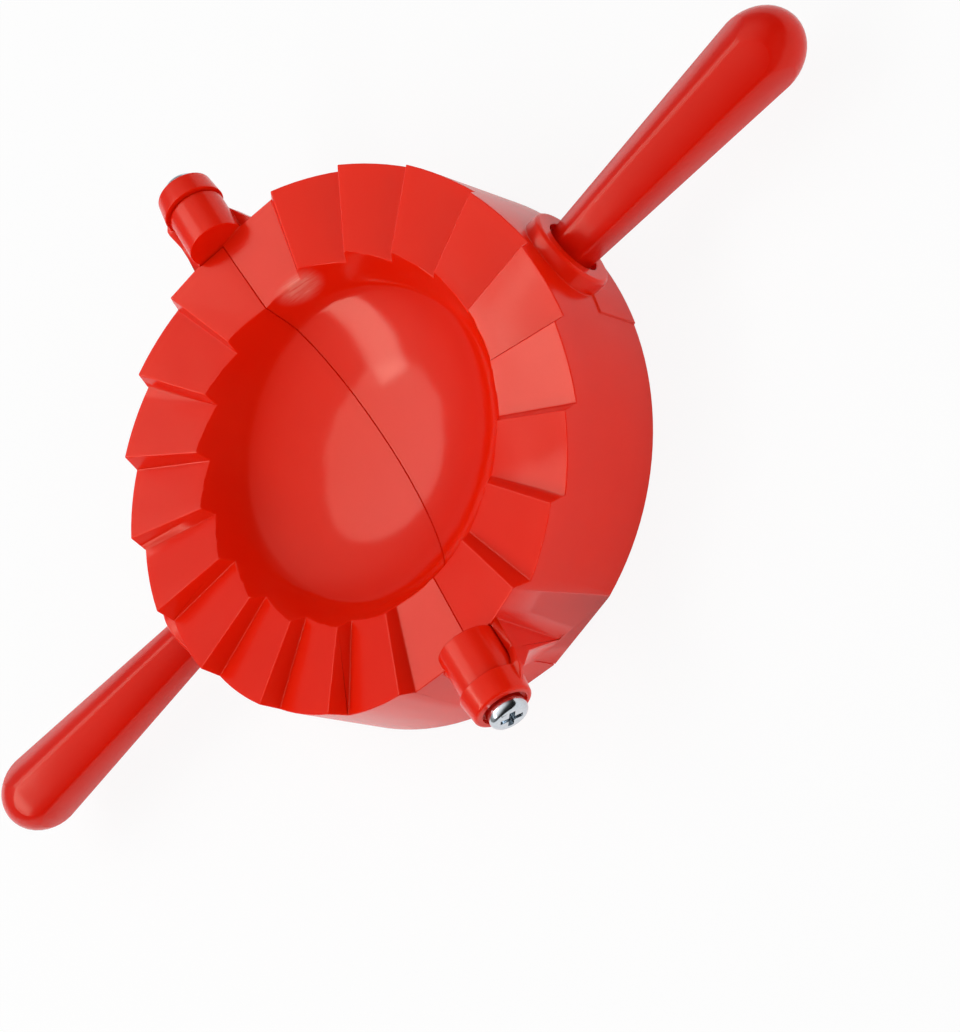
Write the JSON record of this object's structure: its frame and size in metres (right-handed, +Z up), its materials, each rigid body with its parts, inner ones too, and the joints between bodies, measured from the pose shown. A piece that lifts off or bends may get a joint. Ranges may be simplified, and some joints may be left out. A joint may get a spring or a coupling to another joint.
{
  "type": "empanada press",
  "caption": "Hinged round dough press, lying open: half-round shells with a shared dish, a toothed crimping rim, side hinges with screws, and tapered handles.",
  "frame": {"origin": "centre of the open press on the plane that its back edges rest on", "axes": "+X along the hinge axis, +Y along the folding half's handle, +Z up, out of the dish"},
  "size_m": [0.1464, 0.2442, 0.0366],
  "materials": {
    "red_shell": "glossy moulded polypropylene",
    "red_handle": "glossy moulded polypropylene",
    "zinc_screw": "bright zinc plate"
  },
  "bodies": {
    "base": {"base_half": "red_shell", "base_handle": "red_handle", "base_screw": "zinc_screw"},
    "folding": {"folding_half": "red_shell", "folding_handle": "red_handle", "folding_screw": "zinc_screw"}
  },
  "joints": [
    {"name": "fold", "type": "hinge", "parent": "base", "child": "folding", "pos_m": [0, 0, 0.0294], "axis": [1, 0, 0], "range_deg": [0, 180]}
  ]
}
